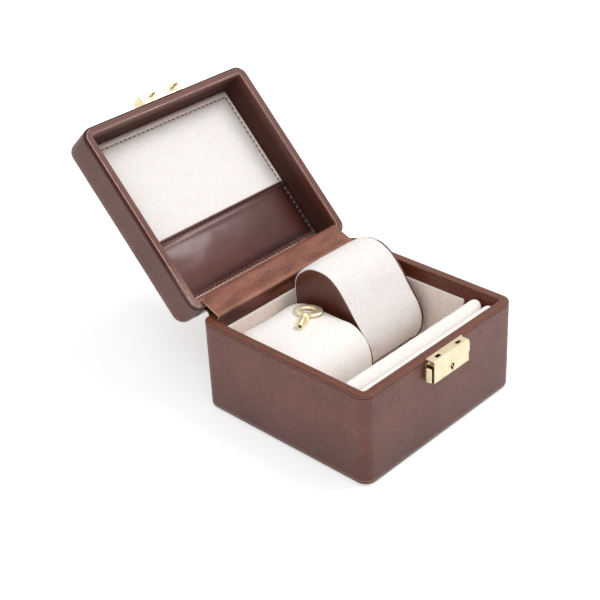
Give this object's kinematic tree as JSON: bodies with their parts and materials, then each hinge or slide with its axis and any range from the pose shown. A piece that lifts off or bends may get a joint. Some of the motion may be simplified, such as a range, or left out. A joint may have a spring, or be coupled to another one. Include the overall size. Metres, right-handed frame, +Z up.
{
  "type": "watch travel case",
  "caption": "Hinged leather travel case with watch cushions, ring rolls, a lid pocket and a small key lock, shown open with its key on a cushion",
  "frame": {"origin": "middle of the base's underside, on the surface that the case stands on", "axes": "+X along the front to the right, +Y from the front to the hinge side, +Z up; the lid is open at joint value 0"},
  "size_m": [0.13, 0.2357, 0.1571],
  "materials": {
    "cover_leather": "smooth grey-brown leather with a fine grain, satin",
    "rim_leather": "polished reddish-brown leather, low sheen",
    "pocket_leather": "dark brown leather, glossy",
    "strip_leather": "smooth tan-brown leather, satin",
    "end_leather": "smooth brown leather, satin",
    "greyboard": "bare pressed board, matt",
    "suede": "cream suede, matt with a short nap",
    "foam": "foam under the suede wrap, matt",
    "underside": "dark felted sheet, matt",
    "lock_brass": "polished pale gold brass",
    "key_brass": "polished gold brass",
    "rivet_brass": "brushed brass",
    "spring_steel": "bright spring steel"
  },
  "bodies": {
    "base": {"base_front_board": "greyboard", "base_back_board": "greyboard", "base_left_board": "greyboard", "base_right_board": "greyboard", "base_floor_board": "greyboard", "base_side_leather": "cover_leather", "base_rim_leather": "rim_leather", "base_underside_sheet": "underside", "lining_floor": "suede", "lining_back": "suede", "lining_left": "suede", "lining_right": "suede", "ring_plinth": "suede", "ring_roll_rear": "suede", "ring_roll_front": "suede", "hinge_strip_base": "strip_leather", "hinge_strip_span": "strip_leather", "hinge_cover_base": "cover_leather", "hinge_cover_fold": "cover_leather", "lock_back_plate": "lock_brass", "lock_housing": "lock_brass", "lock_leaf_spring": "spring_steel", "lock_rivets": "rivet_brass"},
    "lid": {"lid_front_board": "greyboard", "lid_back_board": "greyboard", "lid_left_board": "greyboard", "lid_right_board": "greyboard", "lid_top_board": "greyboard", "lid_leather": "cover_leather", "lid_rim_leather": "rim_leather", "lid_panel": "suede", "lid_pocket": "pocket_leather", "hinge_strip_lid": "strip_leather", "hinge_cover_lid": "cover_leather", "catch_back_plate": "lock_brass", "catch_housing": "lock_brass", "catch_hooks": "lock_brass", "catch_rivets": "rivet_brass"},
    "latch_slide": {"lock_slide_bar": "lock_brass", "lock_slide_tab": "lock_brass", "lock_slide_tongue": "lock_brass", "lock_slide_pawl_left": "lock_brass", "lock_slide_pawl_right": "lock_brass"},
    "key_barrel": {"lock_key_barrel": "lock_brass"},
    "cushion_left": {"cushion_left_core": "foam", "cushion_left_wrap": "suede", "cushion_left_end_outer": "end_leather", "cushion_left_end_inner": "end_leather"},
    "cushion_right": {"cushion_right_core": "foam", "cushion_right_wrap": "suede", "cushion_right_end_outer": "end_leather", "cushion_right_end_inner": "end_leather"},
    "key": {"key": "key_brass"}
  },
  "joints": [
    {"name": "lid_hinge", "type": "hinge", "parent": "base", "child": "lid", "pos_m": [0, 0.0642, 0.0597], "axis": [-1, 0, 0], "range_deg": [-134, 0], "deforming": ["hinge_strip_span", "hinge_cover_fold"]},
    {"name": "latch_slide", "type": "slide", "parent": "base", "child": "latch_slide", "axis": [1, 0, 0], "range_m": [0, 0.0015]},
    {"name": "key_barrel_turn", "type": "hinge", "parent": "base", "child": "key_barrel", "pos_m": [0, -0.0682, 0.049], "axis": [0, -1, 0], "range_deg": [0, 90]},
    {"name": "cushion_left_lift", "type": "slide", "parent": "base", "child": "cushion_left", "axis": [0, 0, 1], "range_m": [0, 0.06]},
    {"name": "cushion_right_lift", "type": "slide", "parent": "base", "child": "cushion_right", "axis": [0, 0, 1], "range_m": [0, 0.06]},
    {"name": "key_lift", "type": "slide", "parent": "cushion_left", "child": "key", "axis": [0, 0, 1], "range_m": [0, 0.03]}
  ]
}
